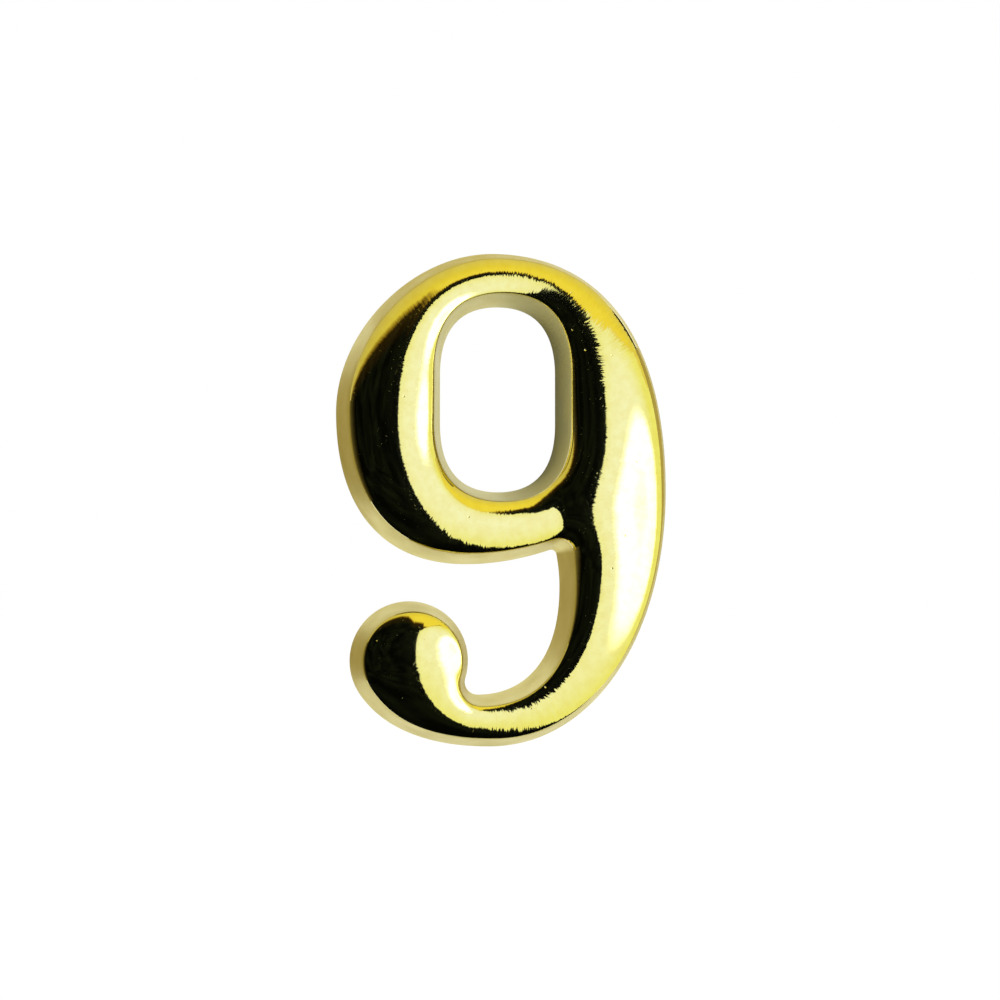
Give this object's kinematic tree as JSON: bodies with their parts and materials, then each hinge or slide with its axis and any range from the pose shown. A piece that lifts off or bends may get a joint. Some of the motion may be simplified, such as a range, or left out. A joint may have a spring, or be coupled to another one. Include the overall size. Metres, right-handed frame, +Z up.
{
  "type": "house number",
  "caption": "House number in the form of a nine, in polished brass: domed face, drafted sides, a tail that ends in a ball, and a flat back that is fixed to a door or wall.",
  "frame": {"origin": "on the flat back, at the middle of the outline's height and width", "axes": "+Z is up as the numeral is read, the domed face looks along -Y, and the flat back faces +Y"},
  "size_m": [0.0336, 0.0072, 0.05],
  "materials": {
    "brass": "mirror-polished face, satin sides and back"
  },
  "bodies": {
    "root": {"numeral": "brass"}
  },
  "joints": []
}
